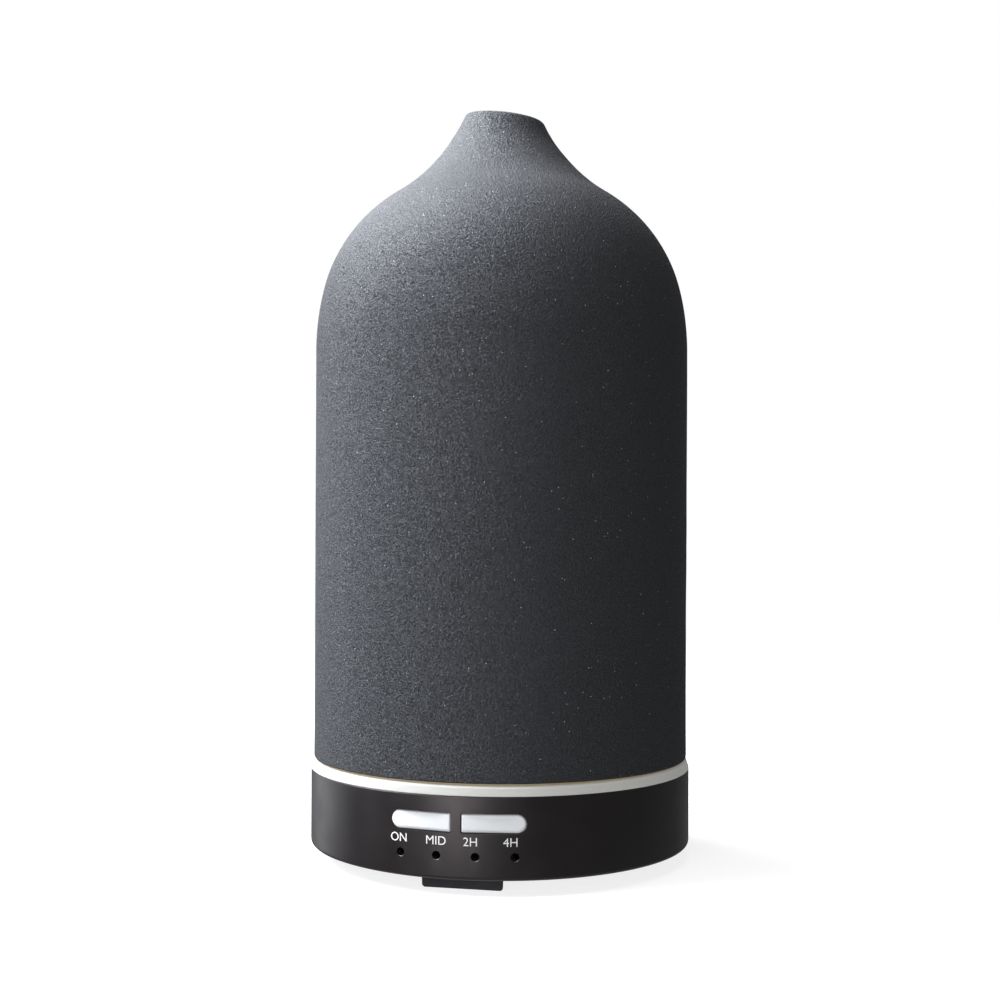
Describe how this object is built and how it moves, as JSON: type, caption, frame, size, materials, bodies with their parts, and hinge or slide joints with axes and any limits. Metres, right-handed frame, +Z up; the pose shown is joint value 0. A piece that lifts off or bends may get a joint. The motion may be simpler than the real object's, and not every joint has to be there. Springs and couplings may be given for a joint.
{
  "type": "essential oil diffuser",
  "caption": "Ultrasonic essential oil diffuser: a bottle-shaped ceramic cover lifts off a water tank on a round base with two buttons.",
  "frame": {"origin": "centre of the round body, on the surface that the feet stand on", "axes": "+Z up along the body's axis; -Y towards the two buttons at the front; +X to the right of someone facing the buttons"},
  "size_m": [0.095, 0.095, 0.1873],
  "materials": {
    "stoneware": "matte charcoal glaze with a fine orange-peel texture",
    "housing_plastic": "satin black moulding",
    "ring_plastic": "milky translucent, satin",
    "tank_plastic": "white polypropylene, satin",
    "lid_plastic": "white polypropylene, satin",
    "button_plastic": "bluish white, satin",
    "foot_rubber": "matte",
    "silicone": "matte",
    "steel": "zinc plated",
    "brass": "sintered, satin",
    "copper": "enamelled winding",
    "aluminium": "extruded, satin",
    "circuit_board": "solder mask",
    "black_moulding": "moulded",
    "piezo_plate": "plated ceramic disc",
    "led_lens": "diffused lens",
    "connector_plastic": "natural nylon",
    "red_wire": "insulation",
    "black_wire": "insulation"
  },
  "bodies": {
    "base": {"water_tank": "tank_plastic", "tank_seal": "silicone", "light_ring": "ring_plastic", "base_housing": "housing_plastic", "bottom_cover": "housing_plastic", "foot_front": "foot_rubber", "foot_right": "foot_rubber", "foot_left": "foot_rubber", "case_screw_1": "steel", "case_screw_2": "steel", "case_screw_3": "steel", "case_screw_4": "steel", "mist_switch": "black_moulding", "light_switch": "black_moulding", "button_board": "circuit_board", "status_led_1": "led_lens", "status_led_2": "led_lens", "status_led_3": "led_lens", "status_led_4": "led_lens", "main_board": "circuit_board", "board_screw_1": "steel", "board_screw_2": "steel", "board_screw_3": "steel", "main_capacitor": "black_moulding", "small_capacitor": "black_moulding", "inductor": "copper", "heat_sink": "aluminium", "power_transistor": "black_moulding", "controller_chip": "black_moulding", "piezo_connector": "connector_plastic", "fan_connector": "connector_plastic", "power_socket": "black_moulding", "led_ring_board": "circuit_board", "piezo_gasket": "silicone", "piezo_disc": "piezo_plate", "piezo_retainer": "steel", "retainer_screw_1": "steel", "retainer_screw_2": "steel", "retainer_screw_3": "steel", "fan_frame": "black_moulding", "fan_bearing": "brass", "fan_stator": "copper", "fan_screw_1": "steel", "fan_screw_2": "steel", "air_duct": "black_moulding", "piezo_lead_red": "red_wire", "piezo_lead_black": "black_wire", "fan_lead_red": "red_wire", "fan_lead_black": "black_wire"},
    "cover": {"ceramic_cover": "stoneware"},
    "lid": {"inner_lid": "lid_plastic"},
    "mist_button": {"mist_button": "button_plastic", "mist_plunger": "black_moulding"},
    "light_button": {"light_button": "button_plastic", "light_plunger": "black_moulding"},
    "fan_rotor": {"fan_impeller": "black_moulding", "fan_magnet": "steel", "fan_shaft": "steel"}
  },
  "joints": [
    {"name": "cover_lift", "type": "slide", "parent": "base", "child": "cover", "axis": [0, 0, 1], "range_m": [0, 0.12]},
    {"name": "lid_lift", "type": "slide", "parent": "base", "child": "lid", "axis": [0, 0, 1], "range_m": [0, 0.045]},
    {"name": "mist_button_press", "type": "slide", "parent": "base", "child": "mist_button", "axis": [0, 1, 0], "range_m": [0, 0.0008], "stiffness_N_per_m": 1500},
    {"name": "light_button_press", "type": "slide", "parent": "base", "child": "light_button", "axis": [0, 1, 0], "range_m": [0, 0.0008], "stiffness_N_per_m": 1500},
    {"name": "fan_spin", "type": "hinge", "parent": "base", "child": "fan_rotor", "pos_m": [-0.0235, 0, 0.008], "axis": [0, 0, 1], "continuous": true}
  ]
}
